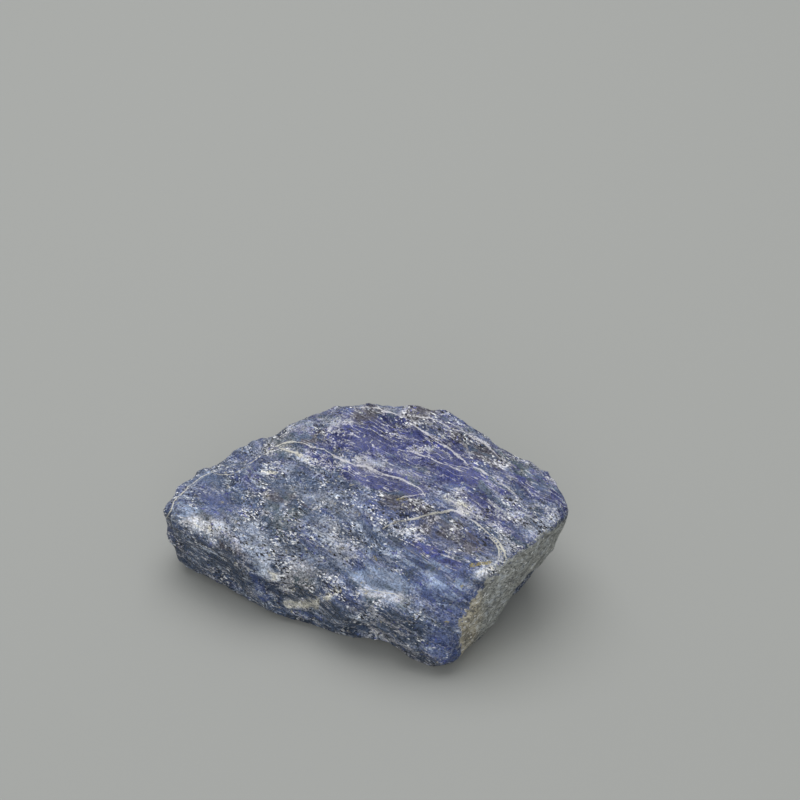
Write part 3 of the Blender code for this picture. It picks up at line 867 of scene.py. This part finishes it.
def coordinates_by_name(paint):
    """The places that patterns are drawn with, all in mm."""
    source = paint.nodes.new("ShaderNodeTexCoord")
    place = paint.vector("SCALE", source.outputs["Object"], 1 / MM)
    grain, sheet = unit(GRAIN), unit(SHEET_NORMAL)
    along, out = unit(END_ALONG), unit(END_NORMAL)
    coordinates = {
        "place": place,
        "stone": paint.turned(place, (grain, np.cross(sheet, grain), sheet)),
        "end": paint.turned(place, (along, np.cross(out, along), out)),
    }
    for name, (base, size, amount) in BENDS.items():
        coordinates[name] = paint.bent(coordinates[base], size, amount)
    return coordinates


def patterns_by_name(paint):
    """Every mask, cloud, line and random number that the colours are made of."""
    coordinates = coordinates_by_name(paint)
    parts = {"on_" + name: paint.mask(name) for name in (*STROKES, "vein", "end")}
    parts["across_vein"] = paint.math("ABSOLUTE", paint.mask("vein_across"))
    for name, (base, sizes, detail, roughness) in CLOUDS.items():
        parts[name] = paint.clouds(coordinates[base], sizes, detail, roughness)
    for name, (base, sizes) in GRAINS.items():
        for number, output in enumerate(paint.grains(coordinates[base], sizes), start=1):
            parts[f"{name}_{number}"] = output
    for name, (base, sizes, width) in LINES.items():
        parts[name] = paint.lines(coordinates[base], sizes, width)
    along = paint.vector("DOT_PRODUCT", coordinates["place"], tuple(unit(END_ALONG)))
    parts["end_nearness"] = paint.faded("end_nearness", along)
    parts["in_plate"] = paint.faded("in_plate", parts["plate_1"])
    parts["uneven"] = paint.added("uneven", parts)
    return parts


def clean_colour(paint, parts):
    """The tones of the clean stone."""
    colour = paint.mix(paint.faded("slate_blue", parts["bands"]), SLATE, SLATE_BLUE)
    colour = paint.mix(paint.faded("moss", parts["hue"]), colour, MOSS)
    for name, (tone, start, end) in TONES.items():
        level = paint.sum(0.0, (parts["on_" + name], 1.0), (parts["uneven"], 1.0))
        colour = paint.mix(paint.fade(level, start, end), colour, tone)
    return colour


def frosted(paint, parts, colour):
    """Crushed grain over the clean stone, in clouds, and in streaks where it is violet or navy. Some of its
    strokes are painted glints and a painted highlight along the left rim, and the navy includes painted
    shade.
    """
    parts["calm"] = paint.product(
        paint.faded("calm_where_smooth", parts["on_smooth"]),
        paint.faded("calm_where_whole", parts["broken_up"]),
        paint.faded("calm_in_plate", parts["in_plate"]))
    parts["sheeted"] = paint.faded("sheeted", paint.highest(parts["on_violet"], parts["on_navy_and_shade"]))
    parts["sheet_streaks"] = paint.product(paint.added("streaked", parts), parts["sheeted"])
    parts["rough_frost"] = paint.added("rough_frost", parts)
    parts["calm_frost"] = paint.product(parts["rough_frost"], parts["calm"])
    light = paint.mix(paint.faded("lilac", paint.added("warmth", parts)), FROST, LILAC)
    light = paint.mix(paint.faded("cream", paint.added("cream", parts)), light, CREAM)
    return paint.mix(paint.faded("frost_and_glints", paint.added("frost_and_glints", parts)), colour, light)


def lined(paint, parts, colour):
    """Thin light lines along the grain, dark cracks that are partly painted shade in crevices, and the
    shades of chips and grains.
    """
    thread = paint.product(
        parts["threads"], paint.faded("thread", parts["crush"]), parts["sheeted"], THREAD_SHARE)
    colour = paint.mix(thread, colour, LILAC)
    # Dark cracks: partly dark fractures, partly painted shade in the crevices.
    crack_shade = paint.product(
        parts["cracks"], paint.faded("crack_shade", parts["clouds"]), parts["calm"], CRACK_SHADE_SHARE)
    colour = paint.mix(crack_shade, colour, BLACK)
    colour = paint.mix(paint.faded("royal", paint.added("royal", parts)), colour, ROYAL)
    for shade, number in (("chip_shade", "chip_3"), ("plate_shade", "plate_2"), ("dust_shade", "dust_3")):
        colour = paint.vector("SCALE", colour, paint.faded(shade, parts[number]))
    return colour


def flecked(paint, parts, colour):
    """White flecks, partly white grains and partly painted glints, and dark flecks, partly dark grains and
    partly painted shade in pits, most of them where the stone is crushed; ragged veins, one of them a
    painted highlight along the left rim; and rust.
    """
    # White flecks: white grains and, in part, painted glints.
    colour = paint.mix(paint.faded("white_fleck_and_glint", paint.added("white_fleck_and_glint", parts)), colour, WHITE)
    # Dark flecks: dark grains and, in part, painted shade in tiny pits.
    colour = paint.mix(paint.faded("dark_fleck_and_pit_shade", paint.added("dark_fleck_and_pit_shade", parts)), colour, BLACK)
    parts["vein"] = paint.product(paint.faded("vein", paint.added("from_vein", parts)), parts["on_vein"])
    vein_tone = paint.mix(paint.faded("cool_vein", paint.added("cool", parts)), CREAM, LILAC_WHITE)
    colour = paint.mix(parts["vein"], colour, vein_tone)
    return paint.mix(paint.faded("rust", paint.added("rust", parts)), colour, OCHRE)


def end_colour(paint, parts):
    """The weathered grey of the flat break at the right end, scratched along its length."""
    colour = paint.mix(paint.faded("end_tan", paint.added("end_front", parts)), ASH, TAN)
    colour = paint.mix(paint.faded("end_soot", parts["end_streaks"]), colour, SOOT)
    colour = paint.mix(paint.faded("end_frost", parts["end_streaks"]), colour, FROST)
    colour = paint.mix(paint.product(parts["scratches"], SCRATCH_SHARE), colour, CREAM)
    colour = paint.mix(paint.faded("end_dark_speck", parts["speck_1"]), colour, SOOT)
    colour = paint.mix(paint.faded("end_white_speck", parts["speck_3"]), colour, WHITE)
    return paint.vector("SCALE", colour, paint.faded("end_shade", parts["speck_2"]))


def stone_material():
    paint = Paint("sodalite")
    parts = patterns_by_name(paint)
    colour = clean_colour(paint, parts)
    for coat in (frosted, lined, flecked):
        colour = coat(paint, parts, colour)
    end = paint.faded("end", paint.added("end", parts))
    paint.put(paint.shader.inputs["Base Color"], paint.mix(end, colour, end_colour(paint, parts)))

    weathered = paint.highest(parts["vein"], end)
    rough = paint.highest(
        paint.faded("roughness", parts["dust_3"]), paint.product(weathered, DULL_ROUGHNESS))
    paint.put(paint.shader.inputs["Roughness"], rough)
    paint.shader.inputs["IOR"].default_value = STONE_IOR

    parts["calm_height"] = paint.product(paint.added("height", parts), parts["calm"])
    bump = paint.nodes.new("ShaderNodeBump")
    bump.inputs["Strength"].default_value = BUMP_STRENGTH
    bump.inputs["Distance"].default_value = BUMP_DISTANCE * MM
    paint.put(bump.inputs["Height"], paint.added("bump", parts))

    # The faces of the grains, which glint each its own way, less on what is dull.
    dull = paint.highest(weathered, parts["on_smooth"], paint.product(parts["on_violet"], VIOLET_DULLNESS))
    directions = paint.random_direction([parts["dust_1"], parts["dust_2"], parts["dust_3"]])
    facets = paint.vector("SCALE", directions, paint.faded("facet_tilt", dull))
    normal = paint.vector("ADD", bump.outputs["Normal"], facets)
    paint.put(paint.shader.inputs["Normal"], paint.vector("NORMALIZE", normal, (0.0,) * 3))
    return paint.material


def floor_material():
    paint = Paint("floor_grey")
    paint.shader.inputs["Base Color"].default_value = linear(*FLOOR_GREY)
    paint.shader.inputs["Roughness"].default_value = FLOOR_ROUGHNESS
    return paint.material


def build_floor():
    side = FLOOR_REACH * MM
    mesh = bpy.data.meshes.new("floor")
    corners = [(-side, -side, 0), (side, -side, 0), (side, side, 0), (-side, side, 0)]
    mesh.from_pydata(corners, [], [(0, 1, 2, 3)])
    mesh.materials.append(floor_material())
    floor = bpy.data.objects.new("floor", mesh)
    bpy.context.scene.collection.objects.link(floor)


def light_scene():
    """The lamps, each turned to the stone, and the even light of the studio."""
    for name, (place, side, power) in LAMPS.items():
        lamp = bpy.data.lights.new(name, "AREA")
        lamp.size = side * MM
        lamp.energy = power
        obj = bpy.data.objects.new(name, lamp)
        obj.location = Vector(place) * MM
        obj.rotation_euler = (-obj.location).to_track_quat("-Z", "Y").to_euler()
        bpy.context.scene.collection.objects.link(obj)
    world = bpy.data.worlds.new("studio")
    world.use_nodes = True
    background = world.node_tree.nodes["Background"]
    background.inputs["Color"].default_value = STUDIO_COLOUR
    background.inputs["Strength"].default_value = STUDIO_STRENGTH
    bpy.context.scene.world = world
    bpy.context.scene.view_settings.view_transform = "Standard"


def add_camera():
    camera = bpy.data.cameras.new("camera")
    camera.lens = LENS
    camera.sensor_width = SENSOR
    obj = bpy.data.objects.new("camera", camera)
    obj.location = CAMERA_PLACE * MM
    obj.rotation_euler = CAMERA_TURN
    bpy.context.scene.collection.objects.link(obj)
    bpy.context.scene.camera = obj


add_camera()
build_floor()
light_scene()
surface = build_surface(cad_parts[NODE])
surface.data.materials.append(stone_material())
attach(surface, "root")
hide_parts(NODE)
